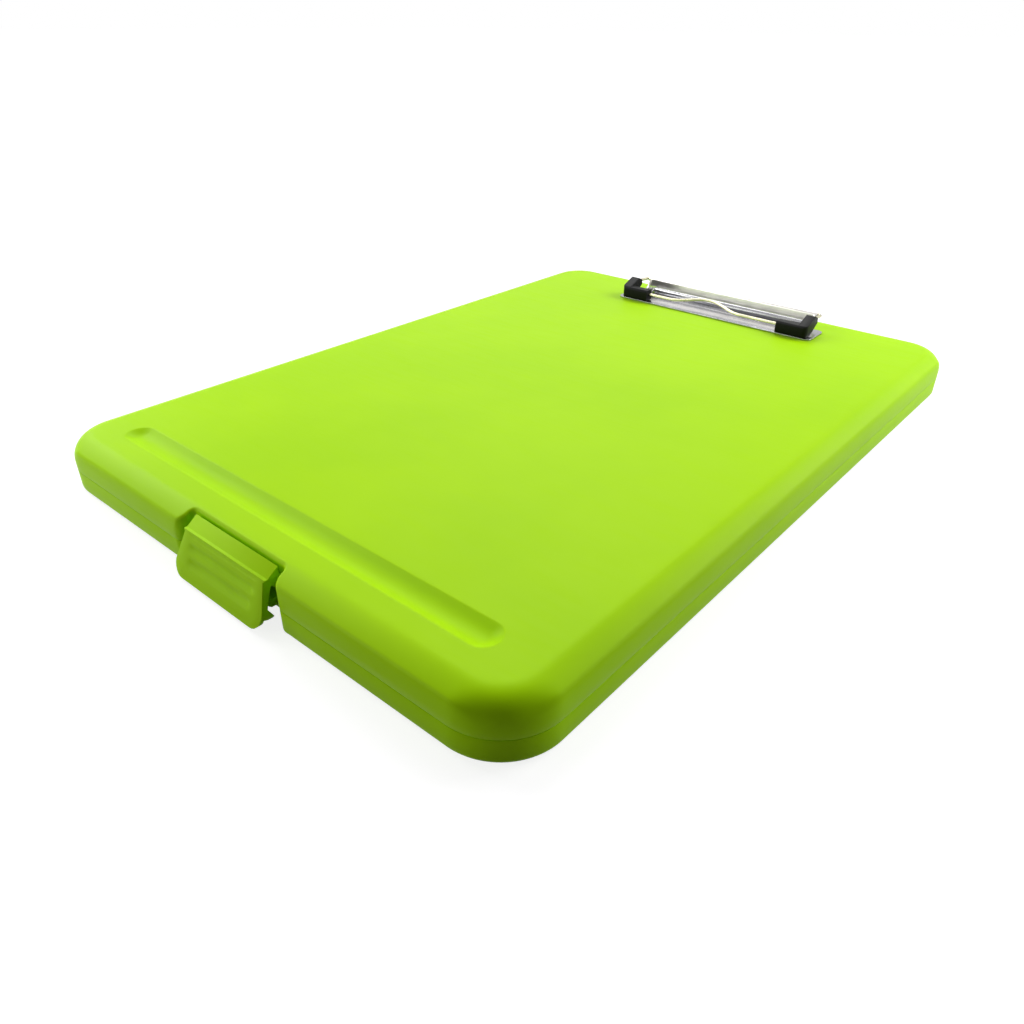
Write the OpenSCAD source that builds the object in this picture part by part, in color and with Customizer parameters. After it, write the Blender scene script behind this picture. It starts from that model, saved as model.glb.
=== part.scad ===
// Storage clipboard: a hinged flat box for letter paper whose lid is the writing board.
// Millimetres, +Z up, +X to the right seen from the latch edge, latch at -Y, hinge at +Y.
// The origin is the centre of the underside.

/* [Box] */
// Width of the box
body_w = 241; // [200:1:290]
// Length of the box from the latch edge to the hinge edge
body_l = 345; // [285:1:415]
// Height of the writing surface above the table
body_h = 20.8; // [17.3:0.1:25]
// Height of the parting line between tray and lid
seam_z = 9; // [7.5:0.1:10.8]
// Corner radius of the box in plan
corner_r = 21.6; // [18:0.1:26]
// Radius of the rounded upper edge of the lid
edge_r = 8.8; // [7:0.1:10.6]
// Radius of the lower edge of the tray
foot_r = 2.2; // [1:0.1:3]
// Thickness of the walls, the floor and the board
wall = 2.2; // [1.8:0.1:2.7]

/* [Tray rim] */
// Height of the locating rim above the parting line
rim_h = 2.2; // [1:0.1:4]
// Thickness of the locating rim
rim_t = 1.2; // [1:0.1:2]
// Gap between the rim and the inside of the lid
rim_gap = 0.3; // [0.2:0.05:0.6]

/* [Pen groove] */
// Length of the groove with its round ends
groove_l = 194; // [120:1:196]
// Width of the groove at the surface
groove_w = 10.7; // [8:0.1:13]
// Depth of the groove
groove_d = 2; // [1.5:0.1:3]
// Distance of the groove's centre line from the latch edge
groove_inset = 22.7; // [19:0.1:35]

/* [Latch notch] */
// Half of the notch's width
notch_half = 26; // [21.6:0.1:31]
// Depth of the notch from the front face
notch_d = 6.7; // [6.7:0.1:8]
// Radius of the notch's outer corners
notch_outer_r = 4.5; // [3:0.1:4.6]
// Radius of the notch's inner corners
notch_inner_r = 2; // [0.5:0.1:2.1]

/* [Latch] */
// Gap between the latch's shoulders and the notch's side walls
latch_gap = 3.3; // [0.5:0.1:4]
// Slope of the flap's face from the vertical, in degrees
flap_angle = 21.6; // [15:0.1:25]
// Clearance under the flap
latch_foot = 1; // [0.5:0.1:1.5]
// Thickness of the flap
flap_t = 2.3; // [1.8:0.1:2.8]
// Depth of the grip recesses
grip_d = 0.6; // [0.3:0.1:0.9]
// Radius of the latch pin
latch_pin_r = 0.7; // [0.5:0.05:0.8]
// Half of the latch pin's length
latch_pin_half = 16; // [15:0.5:19]
// Distance of each pin lug from the middle
lug_x = 12; // [6:0.5:13]
// Width of each pin lug
lug_w = 3; // [2:0.1:4]

/* [Hinge] */
// Radius of the hinge knuckles
knuckle_r = 2.9; // [2.7:0.05:3.5]
// Width of one knuckle
knuckle_w = 12; // [8:0.1:14]
// Distance of each hinge's outer end from the side of the box
hinge_inset = 15.5; // [12:0.5:25]
// Radius of the hinge pins
hinge_pin_r = 1.5; // [1:0.05:1.8]

/* [Clip] */
// Offset of the clip from the middle of the box
clip_offset = 3; // [-5:0.1:5]
// Half of the base plate's width
plate_half = 59; // [58:0.1:70]
// Thickness of the base plate
plate_t = 0.8; // [0.6:0.05:1.2]
// Distance of the pivot rod from the hinge edge of the box
rod_inset = 21.9; // [19:0.1:40]
// Distance from the pivot rod to the front edge of the base plate
plate_front = 20.8; // [20:0.1:25]
// Radius of the pivot rod
rod_r = 1; // [0.8:0.05:1.1]
// Outer radius of the rolled barrel around the rod
barrel_r = 1.85; // [1.7:0.05:2]
// Half of the barrel's width
barrel_half = 46; // [38:0.1:46]
// Radius of the bail wire
wire_r = 0.8; // [0.6:0.05:0.85]
// Distance from the middle of the clip to each arm of the bail wire
arm_x = 54; // [53.8:0.1:56]
// Depth of the wave in the bail wire's front bar
wave_d = 6.4; // [0:0.1:7]
// Half of the wave's length along the bar
wave_half = 22; // [18:0.5:26]
// Middle of the wave, to the right of the clip's middle
wave_x = -4; // [-8:0.1:8]
// Outer radius of the lever's rolled rail
rail_r = 1.35; // [1.25:0.05:1.5]
// Thickness of the lever's sheet
lever_t = 0.8; // [0.5:0.05:1]
// Length of each corner cap along the front bar
cap_l = 16.8; // [12:0.1:20]
// Width of each corner cap's side leg
cap_w = 5; // [4.4:0.1:5.2]
// Radius of the rivets' shanks
rivet_r = 1.6; // [1.2:0.05:2]
// Radius of the rivets' heads
rivet_head_r = 3; // [2.4:0.1:3.2]

/* [Clip springs] */
// Radius of the spring wire
spring_wire_r = 0.25; // [0.2:0.01:0.28]
// Mean radius of the spring coil
spring_r = 1.5; // [1.45:0.01:1.55]
// Number of turns in each spring
spring_turns = 3; // [2:1:3]
// Distance between turns
spring_pitch = 1.05; // [1.02:0.01:1.1]

/* [Hidden] */
$fn = 48;

// Running clearance of pins in their holes, and side gap between knuckles
fit = 0.05;
side_gap = 0.4;
over = 1;

front = -body_l / 2;
rear = body_l / 2;
top_r = min(edge_r, body_h - seam_z - 0.5);
groove_r = (groove_w * groove_w / 4 + groove_d * groove_d) / (2 * groove_d);
groove_y = front + groove_inset;
notch_y = front + notch_d;

// Latch: pivot, shoulder and flap, measured from the front face and the board
latch_half = notch_half - latch_gap;
pivot_y = notch_y - 2.4;
pivot_z = body_h - 6;
boss_r = 1.9;
lug_r = latch_pin_r + 0.8;
rim_y = front + 0.45;
rim_z = body_h - 4.1;
toe_y = rim_y - (rim_z - latch_foot) * tan(flap_angle);
face_l = (rim_z - latch_foot) / cos(flap_angle);
catch_z = 3.9;

hinge_y = rear + 2.7;
hinge_x = body_w / 2 - hinge_inset;

// Clip: rod, front bar, knee and rail, measured from the rod
rod_y = rear - rod_inset;
rod_z = body_h + barrel_r + 0.1;
bar = [rod_y - 17.7, rod_z + 2.45];
knee = [rod_y - 7.6, rod_z + 5.85];
rail = [rod_y + 3, rod_z + 5.05];
plate_top = body_h + plate_t;
bail_tilt = atan2(knee[1] - bar[1], knee[0] - bar[0]);
ear_x = barrel_half + 2 * spring_wire_r + spring_turns * spring_pitch + 0.8;
ear_t = 1;
rivet_x = barrel_half + 0.5;
rivet_y = rod_y - 8.6;
rivet_tail = 0.9;
washer_t = 0.8;
cap_gap = 0.3;

function unit(v) = v / norm(v);

// A bend of a wire at corner v, starting and ending the distance d from the corner
function bend(a, v, b, d, n = 4) =
  let (p = v + d * unit(a - v), q = v + d * unit(b - v))
  [for (i = [0:n]) let (t = i / n) (1 - t) * (1 - t) * p + 2 * t * (1 - t) * v + t * t * q];

// Direction of a path at its point i
function heading(path, i) =
  unit(path[min(i + 1, len(path) - 1)] - path[max(i - 1, 0)]);

// One ring of a tube around point p, square to direction t
function ring(p, t, side, r, n) =
  let (u = unit(cross(t, side)), v = cross(u, t))
  [for (k = [0:n - 1]) p + r * (cos(360 * k / n) * u + sin(360 * k / n) * v)];

// A tube of radius r and n sides along a path that never runs along the side vector
module tube(path, side, r, n) {
  last = len(path) - 1;
  points = [for (i = [0:last]) each ring(path[i], heading(path, i), side, r, n)];
  walls = [
    for (i = [0:last - 1], k = [0:n - 1])
      let (a = i * n + k, b = i * n + (k + 1) % n)
      each [[a, b, b + n], [a, b + n, a + n]]
  ];
  ends = [
    for (k = [1:n - 2])
      each [[0, k + 1, k], [last * n, last * n + k, last * n + k + 1]]
  ];
  polyhedron(points, concat(walls, ends));
}

// Right half section of a rounded block, out to the distance half
module edge_section(half, z0, z1, rt, rb) {
  low = rb > 0 ? [for (a = [0:15:90]) [half - rb + rb * sin(a), z0 + rb - rb * cos(a)]] : [[half, z0]];
  high = rt > 0 ? [for (a = [0:9:90]) [half - rt + rt * cos(a), z1 - rt + rt * sin(a)]] : [[half, z1]];
  polygon(concat([[0, z0]], low, high, [[0, z1]]));
}

// Block with corners of radius r in plan, rounded by rt on top and by rb below:
// a middle, four straight edges and four quarter turns that meet face to face
module rounded_block(w, l, r, z0, z1, rt, rb) {
  x = w / 2 - r;
  y = l / 2 - r;
  translate([-x, -y, z0]) cube([2 * x, 2 * y, z1 - z0]);
  for (s = [0, 1]) {
    mirror([s, 0, 0])
      translate([x, y, 0]) rotate([90, 0, 0]) linear_extrude(2 * y) edge_section(r, z0, z1, rt, rb);
    mirror([0, s, 0])
      translate([-x, y, 0]) rotate([90, 0, 90]) linear_extrude(2 * x) edge_section(r, z0, z1, rt, rb);
    for (t = [0, 1])
      mirror([s, 0, 0]) mirror([0, t, 0])
        translate([x, y, 0]) rotate_extrude(angle = 90) edge_section(r, z0, z1, rt, rb);
  }
}

// Plan outline of the box moved inwards by the distance d
module box_outline(d) {
  r = corner_r - d;
  square([body_w - 2 * corner_r, body_l - 2 * d], center = true);
  square([body_w - 2 * d, body_l - 2 * corner_r], center = true);
  for (sx = [-1, 1], sy = [-1, 1])
    translate([sx * (body_w / 2 - corner_r), sy * (body_l / 2 - corner_r)]) circle(r);
}

// Plan of the notch: straight rear edge, hollow inner corners and round outer corners
module notch_plan() {
  ox = notch_half + notch_outer_r;
  ix = notch_half - notch_inner_r;
  right = concat(
    [[ox - 0.2, front - over]],
    [for (a = [252:-12:180]) [ox, front + notch_outer_r] + notch_outer_r * [cos(a), sin(a)]],
    [for (a = [0:15:90]) [ix, notch_y - notch_inner_r] + notch_inner_r * [cos(a), sin(a)]]
  );
  left = [for (i = [len(right) - 1:-1:0]) [-right[i][0], right[i][1]]];
  polygon(concat(right, left));
}

module notch_cut() {
  translate([0, 0, -over]) linear_extrude(body_h + 2 * over) notch_plan();
}

// What the cavities leave standing around the notch
module notch_wall() {
  half = notch_half + notch_outer_r + wall / 2;
  translate([-half, front, 0]) cube([2 * half, notch_d + wall, body_h]);
}

// A bar along X with the section given as [y, z] points
module bar_x(points, half) {
  translate([-half, 0, 0])
    rotate([90, 0, 90]) linear_extrude(2 * half) polygon(points);
}

module rod_x(y, z, r, x0, x1) {
  translate([x0, y, z]) rotate([0, 90, 0]) cylinder(r = r, h = x1 - x0);
}

// Knuckles numbered from the outer end of each hinge, and their roots on the wall
module knuckles(numbers, below) {
  for (s = [0, 1], k = numbers)
    mirror([s, 0, 0])
      translate([hinge_x - (k + 1) * knuckle_w + side_gap / 2, 0, 0]) {
        rod_x(hinge_y, seam_z, knuckle_r, 0, knuckle_w - side_gap);
        translate([0, rear - wall / 2, seam_z + (below ? -knuckle_r : 0.3)])
          cube([knuckle_w - side_gap, hinge_y - rear + wall / 2, knuckle_r - 0.3]);
      }
}

// Room in one half's wall for the other half's knuckles
module knuckle_relief(numbers) {
  for (s = [0, 1], k = numbers)
    mirror([s, 0, 0])
      rod_x(hinge_y, seam_z, knuckle_r + 0.35,
            hinge_x - (k + 1) * knuckle_w - side_gap / 2, hinge_x - k * knuckle_w + side_gap / 2);
}

module hinge_bores() {
  for (s = [0, 1])
    mirror([s, 0, 0])
      rod_x(hinge_y, seam_z, hinge_pin_r + fit, hinge_x - 5 * knuckle_w - over, hinge_x + over);
}

// Locating rim inside the parting line, left out at the hinge and around the notch
module tray_rim() {
  inset = wall + rim_gap;
  difference() {
    union() {
      translate([0, 0, seam_z - 3])
        linear_extrude(3)
          difference() {
            box_outline(wall - 0.2);
            box_outline(inset + rim_t);
          }
      translate([0, 0, seam_z - 1])
        linear_extrude(rim_h + 1)
          difference() {
            box_outline(inset);
            box_outline(inset + rim_t);
          }
    }
    translate([-body_w, rear - corner_r - 9, 0]) cube([2 * body_w, corner_r + 20, body_h]);
    translate([-notch_half - 12, front - over, 0]) cube([2 * notch_half + 24, 20, body_h]);
  }
}

// Ledge behind the latch that the barb hooks under
module catch_ledge() {
  nose = notch_y - 5.4;
  bar_x([
    [notch_y + wall / 2, catch_z + 0.9],
    [notch_y + wall / 2, catch_z + 4.1],
    [nose + 1, catch_z + 4.1],
    [nose, catch_z + 3.3],
    [nose, catch_z + 1.7],
    [nose + 1, catch_z + 0.9],
  ], latch_half - 1.7);
}

module tray() {
  color([0.66, 0.88, 0.16])
    difference() {
      union() {
        difference() {
          rounded_block(body_w, body_l, corner_r, 0, seam_z, 0, foot_r);
          difference() {
            rounded_block(body_w - 2 * wall, body_l - 2 * wall, corner_r - wall,
                          wall, seam_z + over, 0, foot_r / 2);
            notch_wall();
          }
          notch_cut();
        }
        tray_rim();
        catch_ledge();
        knuckles([0, 2, 4], true);
      }
      knuckle_relief([1, 3]);
      hinge_bores();
    }
}

module groove() {
  axis_z = body_h + groove_r - groove_d;
  end_x = groove_l / 2 - groove_w / 2;
  rod_x(groove_y, axis_z, groove_r, -end_x, end_x);
  for (s = [-1, 1]) translate([s * end_x, groove_y, axis_z]) sphere(groove_r);
}

module groove_floor() {
  half = groove_l / 2 + wall;
  translate([-half, groove_y - groove_w / 2 - wall, body_h - groove_d - wall])
    cube([2 * half, groove_w + 2 * wall, groove_d + wall]);
}

// Lugs that carry the latch pin in the notch
module pin_lugs() {
  for (s = [-1, 1]) {
    rod_x(pivot_y, pivot_z, lug_r, s * lug_x - lug_w / 2, s * lug_x + lug_w / 2);
    translate([s * lug_x - lug_w / 2, pivot_y, pivot_z - lug_r])
      cube([lug_w, notch_y - pivot_y + wall / 2, 2 * lug_r]);
  }
}

module rivet_places() {
  for (s = [-1, 1]) translate([clip_offset + s * rivet_x, rivet_y, 0]) children();
}

module lid() {
  color([0.7, 0.9, 0.2])
    difference() {
      union() {
        difference() {
          rounded_block(body_w, body_l, corner_r, seam_z, body_h, top_r, 0);
          difference() {
            rounded_block(body_w - 2 * wall, body_l - 2 * wall, corner_r - wall,
                          seam_z - over, body_h - wall, max(top_r - wall, 1), 0);
            notch_wall();
            groove_floor();
          }
          notch_cut();
          groove();
        }
        pin_lugs();
        knuckles([1, 3], false);
      }
      knuckle_relief([0, 2, 4]);
      hinge_bores();
      rod_x(pivot_y, pivot_z, latch_pin_r + fit, -notch_half, notch_half);
      rivet_places()
        translate([0, 0, body_h - wall - over]) cylinder(r = rivet_r + fit, h = wall + 2 * over);
    }
}

module hinge_pins() {
  color("silver")
    for (s = [0, 1])
      mirror([s, 0, 0])
        rod_x(hinge_y, seam_z, hinge_pin_r,
              hinge_x - 5 * knuckle_w + side_gap, hinge_x - side_gap);
}

// Front view of the latch: narrow shoulders, then a flap that widens to round lower corners
module latch_front() {
  half = latch_half;
  toe = half + 1.8;
  r = 5;
  corner = [for (a = [0:15:90]) [toe - r + r * cos(a), latch_foot + r - r * sin(a)]];
  right = concat([[half, body_h], [half, rim_z - 0.4], [half - 0.8, rim_z - 0.6]], corner);
  left = [for (i = [len(right) - 1:-1:0]) [-right[i][0], right[i][1]]];
  polygon(concat(right, left));
}

// Side section of the latch: sloping shoulder, flap, and the barb on its inner side
module latch_section() {
  polygon([
    [notch_y - 1.1, body_h - 1.2],
    [front + 1.5, body_h - 4.1],
    [rim_y, rim_z],
    [toe_y, latch_foot],
    [toe_y + flap_t, latch_foot],
    [toe_y + flap_t + 0.5, catch_z + 0.4],
    [notch_y - 8.1, catch_z - 0.3],
    [notch_y - 6.3, catch_z - 0.4],
    [notch_y - 5.8, catch_z + 0.1],
    [notch_y - 7.7, catch_z + 3.5],
    [notch_y - 6.6, catch_z + 6.1],
    [pivot_y - boss_r, pivot_z - 1],
    [pivot_y - 0.5, pivot_z - boss_r],
    [pivot_y + boss_r - 0.1, pivot_z + 0.8],
    [notch_y - 1.1, pivot_z + 2.8],
  ]);
  translate([pivot_y, pivot_z]) circle(boss_r);
}

// One grip recess between two distances down the flap's face
module grip_recess(s0, s1, half) {
  translate([0, rim_y, rim_z])
    rotate([-flap_angle, 0, 0])
      translate([-half, -over, -s1]) cube([2 * half, over + grip_d, s1 - s0]);
}

module lug_pocket() {
  for (s = [-1, 1]) {
    x0 = s * lug_x - lug_w / 2 - side_gap;
    x1 = s * lug_x + lug_w / 2 + side_gap;
    rod_x(pivot_y, pivot_z, lug_r + 0.35, x0, x1);
    translate([x0, pivot_y, pivot_z - lug_r - 0.4])
      cube([x1 - x0, 10, 2 * lug_r + 1.3]);
  }
}

module latch() {
  unit_s = face_l / 16.8;
  color([0.64, 0.85, 0.14])
    difference() {
      intersection() {
        translate([-body_w / 2, 0, 0])
          rotate([90, 0, 90]) linear_extrude(body_w) latch_section();
        translate([0, front + 20, 0])
          rotate([90, 0, 0]) linear_extrude(40) latch_front();
      }
      grip_recess(0.5 * unit_s, 1.4 * unit_s, latch_half - 3);
      grip_recess(3.9 * unit_s, 6.3 * unit_s, latch_half - 4);
      grip_recess(8.4 * unit_s, 11.6 * unit_s, latch_half - 5);
      lug_pocket();
      rod_x(pivot_y, pivot_z, latch_pin_r + fit, -latch_pin_half - 0.2, latch_pin_half + 0.2);
    }
}

module latch_pin() {
  color("silver") rod_x(pivot_y, pivot_z, latch_pin_r, -latch_pin_half, latch_pin_half);
}

module clip_base_plate() {
  r = 3;
  back = rod_y - barrel_r - 0.35;
  depth = back - rod_y + plate_front;
  color([0.7, 0.71, 0.7])
    translate([clip_offset, 0, 0])
      difference() {
        union() {
          translate([0, 0, body_h])
            linear_extrude(plate_t) {
              translate([0, back - depth / 2])
                square([2 * plate_half - 2 * r, depth], center = true);
              translate([0, back - depth / 2])
                square([2 * plate_half, depth - 2 * r], center = true);
              for (sx = [-1, 1], sy = [-1, 1])
                translate([sx * (plate_half - r), back - depth / 2 + sy * (depth / 2 - r)])
                  circle(r);
            }
          translate([-barrel_half, back - over, body_h])
            cube([2 * barrel_half, rod_y - back + over - 0.6, plate_t]);
          rod_x(rod_y, rod_z, barrel_r, -barrel_half, barrel_half);
        }
        rod_x(rod_y, rod_z, rod_r + fit, -barrel_half - over, barrel_half + over);
        for (s = [-1, 1])
          translate([s * rivet_x, rivet_y, body_h - over])
            cylinder(r = rivet_r + fit, h = plate_t + 2 * over);
      }
}

module clip_rivets() {
  low = body_h - wall - washer_t;
  color("silver")
    rivet_places() {
      translate([0, 0, plate_top]) cylinder(r = rivet_head_r, h = 1);
      translate([0, 0, low - rivet_tail / 2]) cylinder(r = rivet_r, h = plate_top - low + rivet_tail);
      translate([0, 0, low - rivet_tail]) cylinder(r = rivet_r + 0.9, h = rivet_tail);
    }
}

module rivet_washers() {
  color([0.6, 0.6, 0.6])
    rivet_places()
      translate([0, 0, body_h - wall - washer_t])
        difference() {
          cylinder(r = rivet_r + 2.4, h = washer_t);
          translate([0, 0, -over]) cylinder(r = rivet_r + fit, h = washer_t + 2 * over);
        }
}

module clip_pivot_rod() {
  half = ear_x + ear_t + 0.9;
  color("silver")
    translate([clip_offset, 0, 0]) rod_x(rod_y, rod_z, rod_r, -half, half);
}

// Centre line of one torsion spring, from its leg on the base plate to its end by the lever
function spring_path() =
  let (
    foot = [rod_y - 4.4, plate_top + spring_wire_r + 0.1],
    away = rod_z - foot[1],
    reach = rod_y - foot[0],
    slope = atan2(away, reach) + asin(spring_r / norm([reach, away])),
    x0 = barrel_half + 0.4 + spring_wire_r,
    coil = [
      for (i = [0:8 * spring_turns])
        let (a = 90 + slope - 45 * i)
        [x0 + spring_pitch * i / 8, rod_y + spring_r * cos(a), rod_z + spring_r * sin(a)]
    ]
  )
  concat([[x0, foot[0], foot[1]]], coil);

// Least gap between two turns, from points a whole turn apart
function spring_gap(p) =
  min([for (i = [1:len(p) - 9], j = [i + 5:len(p) - 1]) norm(p[i] - p[j])]) - 2 * spring_wire_r;

module clip_spring(s) {
  path = spring_path();
  echo("least gap between a spring's turns", spring_gap(path));
  color([0.75, 0.75, 0.75])
    translate([clip_offset, 0, 0])
      mirror([s < 0 ? 1 : 0, 0, 0]) tube(path, [1, 0, 0], spring_wire_r, 6);
}

module clip_spring_left() {
  clip_spring(-1);
}

module clip_spring_right() {
  clip_spring(1);
}

// Upright ear from the rod to the rail, with straight edges between two round ends
module lever_ear() {
  along = unit(rail - [rod_y, rod_z]);
  aside = [-along[1], along[0]];
  r0 = 1.6;
  r1 = rail_r - 0.15;
  rotate([90, 0, 90])
    linear_extrude(ear_t) {
      polygon([
        [rod_y, rod_z] + r0 * aside,
        [rod_y, rod_z] - r0 * aside,
        rail - r1 * aside,
        rail + r1 * aside,
      ]);
      translate([rod_y, rod_z]) circle(r0);
    }
}

module clip_lever() {
  half = ear_x + ear_t + 0.9;
  apron_y = rail[0] - rail_r - 0.3;
  apron_z = rod_z + sqrt(pow(barrel_r + 0.2, 2) - pow(apron_y - rod_y, 2));
  color([0.85, 0.85, 0.83])
    translate([clip_offset, 0, 0])
      difference() {
        union() {
          rod_x(rail[0], rail[1], rail_r, -half, half);
          bar_x([
            [apron_y, apron_z],
            [apron_y + lever_t, apron_z],
            [apron_y + lever_t, rail[1] - 1.9],
            [rail[0] - rail_r + lever_t, rail[1]],
            [rail[0] - rail_r + 0.02, rail[1]],
          ], ear_x + ear_t);
          translate([ear_x, 0, 0]) lever_ear();
          translate([-ear_x - ear_t, 0, 0]) lever_ear();
        }
        rod_x(rail[0], rail[1], wire_r + 0.15, -half - over, half + over);
        rod_x(rod_y, rod_z, rod_r + fit, -half, half);
      }
}

// Centre line of the bail wire: one end in the rail, arm, wavy front bar, arm, other end
function bail_path() =
  let (
    a = [arm_x - 3.2, rail[0], rail[1]],
    b = [arm_x, rail[0], rail[1]],
    c = [arm_x, knee[0], knee[1]],
    d = [arm_x, bar[0], bar[1]],
    e = [wave_half, bar[0], bar[1]],
    lift = [0, cos(bail_tilt), sin(bail_tilt)],
    wave = [
      for (i = [0:16])
        [wave_x + wave_half * (1 - i / 8), bar[0], bar[1]] + wave_d * (1 - cos(22.5 * i)) / 2 * lift
    ],
    half = concat([a], bend(a, b, c, 1.3), bend(b, c, d, 1.5), bend(c, d, e, 3))
  )
  concat(half, wave, [for (i = [len(half) - 1:-1:0]) [-half[i][0], half[i][1], half[i][2]]]);

module clip_bail_wire() {
  color([0.85, 0.85, 0.8])
    translate([clip_offset, 0, 0]) tube(bail_path(), [0, -0.3, 1], wire_r, 12);
}

// Corner cap: one leg on the front bar and one on the arm, with a channel for the wire
module corner_cap(s) {
  out = arm_x + cap_w / 2;
  f = rod_y - plate_front;
  low = plate_top + cap_gap;
  color([0.12, 0.12, 0.12])
    translate([clip_offset, 0, 0])
      mirror([s < 0 ? 1 : 0, 0, 0])
        difference() {
          intersection() {
            union() {
              translate([out - cap_l, 0, 0])
                rotate([90, 0, 90])
                  linear_extrude(cap_l)
                    polygon([
                      [f, low],
                      [f, low + 4.9],
                      [f + 0.9, low + 5.8],
                      [f + 5, low + 5.8],
                      [f + 5.7, low + 5],
                      [f + 5.7, low],
                    ]);
              translate([out - cap_w, 0, 0])
                rotate([90, 0, 90])
                  linear_extrude(cap_w)
                    polygon([
                      [f, low],
                      [f, low + 4.9],
                      [f + 0.9, low + 5.8],
                      [f + 9.8, low + 9.3],
                      [f + 13.2, low + 7.8],
                      [f + 13.7, low + 5],
                      [f + 6.2, low],
                    ]);
            }
            translate([0, 0, body_h])
              linear_extrude(30)
                union() {
                  translate([out - cap_l, f]) square([cap_l - 2.5, 20]);
                  translate([out - 2.6, f + 2.5]) square([2.6, 20]);
                  translate([out - 2.5, f + 2.5]) circle(2.5);
                }
          }
          tube(bail_path(), [0, -0.3, 1], wire_r + 0.1, 12);
        }
}

module corner_cap_left() {
  corner_cap(-1);
}

module corner_cap_right() {
  corner_cap(1);
}

tray();
lid();
hinge_pins();
latch();
latch_pin();
clip_base_plate();
clip_rivets();
rivet_washers();
clip_pivot_rod();
clip_spring_left();
clip_spring_right();
clip_lever();
clip_bail_wire();
corner_cap_left();
corner_cap_right();
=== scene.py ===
"""Looks of a storage clipboard: a lime box for letter paper whose lid is a writing board.

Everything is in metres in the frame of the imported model. Sizes in the classes are millimetres,
because that is how the piece is drawn, and they are turned to metres when a mesh is made.
"""

from __future__ import annotations

import logging
import math
from dataclasses import dataclass, field
from enum import Enum

import bmesh
import bpy
from mathutils import Matrix, Vector

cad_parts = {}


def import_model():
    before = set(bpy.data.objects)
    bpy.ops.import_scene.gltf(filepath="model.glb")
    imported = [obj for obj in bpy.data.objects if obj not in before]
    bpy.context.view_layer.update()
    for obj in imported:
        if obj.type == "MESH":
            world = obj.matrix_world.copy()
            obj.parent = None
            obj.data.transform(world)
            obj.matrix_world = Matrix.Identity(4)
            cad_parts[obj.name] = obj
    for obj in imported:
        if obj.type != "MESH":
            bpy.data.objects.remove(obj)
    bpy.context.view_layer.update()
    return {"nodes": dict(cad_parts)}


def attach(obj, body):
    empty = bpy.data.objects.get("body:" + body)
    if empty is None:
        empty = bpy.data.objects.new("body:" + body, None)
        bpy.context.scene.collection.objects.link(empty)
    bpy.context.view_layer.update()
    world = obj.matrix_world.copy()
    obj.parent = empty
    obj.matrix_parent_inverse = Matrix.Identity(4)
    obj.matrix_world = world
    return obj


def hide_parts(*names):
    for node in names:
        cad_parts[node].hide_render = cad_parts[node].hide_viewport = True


LOG = logging.getLogger("storage_clipboard")
MM = 0.001
# corners nearer to straight than this are flat
FLAT = math.radians(0.6)
Tree = bpy.types.NodeTree
Socket = bpy.types.NodeSocket
Piece = bpy.types.Object
Material = bpy.types.Material
Place = tuple[float, float]
Point = tuple[float, float, float]
Ring = list[Point]
Profile = list[Place]
# two points nearer than this are one, in metres
SAME = 0.0005 * MM


class Body(Enum):
    """The moving bodies that pieces ride on."""

    TRAY = "tray_body"
    LID = "lid_body"
    LATCH = "latch_body"
    CLIP = "clip_body"


class Slot(Enum):
    """The record's material slots."""

    LIME = "lime_plastic"
    PLATED = "plated_steel"
    STEEL = "steel"
    BLACK = "black_plastic"


def linear(code: str) -> tuple[float, float, float, float]:
    """Turn an sRGB hex colour, such as "A8D91C", into linear red, green, blue and alpha."""
    values = [int(code[i : i + 2], 16) / 255 for i in (0, 2, 4)]
    return (*(v / 12.92 if v <= 0.04045 else ((v + 0.055) / 1.055) ** 2.4 for v in values), 1.0)


def add_node(
    tree: Tree, kind: str, settings: dict | None = None, inputs: dict | None = None
) -> bpy.types.Node:
    """Add a shader node with its settings and links.

    Args:
        tree: Node tree to add to.
        kind: Node type name.
        settings: Attributes of the node itself.
        inputs: Socket name or number to a value, or to another node's output socket.

    Returns:
        The new node.
    """
    node = tree.nodes.new(kind)
    for name, value in (settings or {}).items():
        setattr(node, name, value)
    for name, value in (inputs or {}).items():
        if isinstance(value, Socket):
            tree.links.new(value, node.inputs[name])
        else:
            node.inputs[name].default_value = value
    return node


def new_material(name: str) -> tuple[Material, Tree]:
    """Make an empty node material.

    Args:
        name: Name of the real material and process.

    Returns:
        The material and its node tree.
    """
    material = bpy.data.materials.new(name)
    material.use_nodes = True
    material.node_tree.nodes.clear()
    return material, material.node_tree


def on_piece(tree: Tree) -> Socket:
    """Give the place on the piece, in its own metres."""
    return add_node(tree, "ShaderNodeTexCoord").outputs["Object"]


def seen_directly(tree: Tree) -> Socket:
    """Give 1 for rays from the camera, a mirror or glass, and 0 for the rays that light things.

    Args:
        tree: Node tree of the floor or the world.

    Returns:
        The socket with the value.
    """
    path = add_node(tree, "ShaderNodeLightPath").outputs
    seen = path["Is Camera Ray"]
    for ray in ("Is Glossy Ray", "Is Transmission Ray"):
        either = add_node(tree, "ShaderNodeMath", {"operation": "MAXIMUM"}, {0: seen, 1: path[ray]})
        seen = either.outputs["Value"]
    return seen


def noise(tree: Tree, where: Socket, size_mm: float, detail: float, rough: float = 0.5) -> Socket:
    """Add a noise with features of a real size.

    Args:
        tree: Node tree of the material.
        where: Socket with the place on the piece.
        size_mm: Size of the largest features in millimetres.
        detail: Number of finer layers.
        rough: Share of each finer layer.

    Returns:
        The socket with the noise's value.
    """
    inputs = {"Vector": where, "Scale": 1 / (size_mm * MM), "Detail": detail, "Roughness": rough}
    return add_node(tree, "ShaderNodeTexNoise", inputs=inputs).outputs["Fac"]


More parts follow.
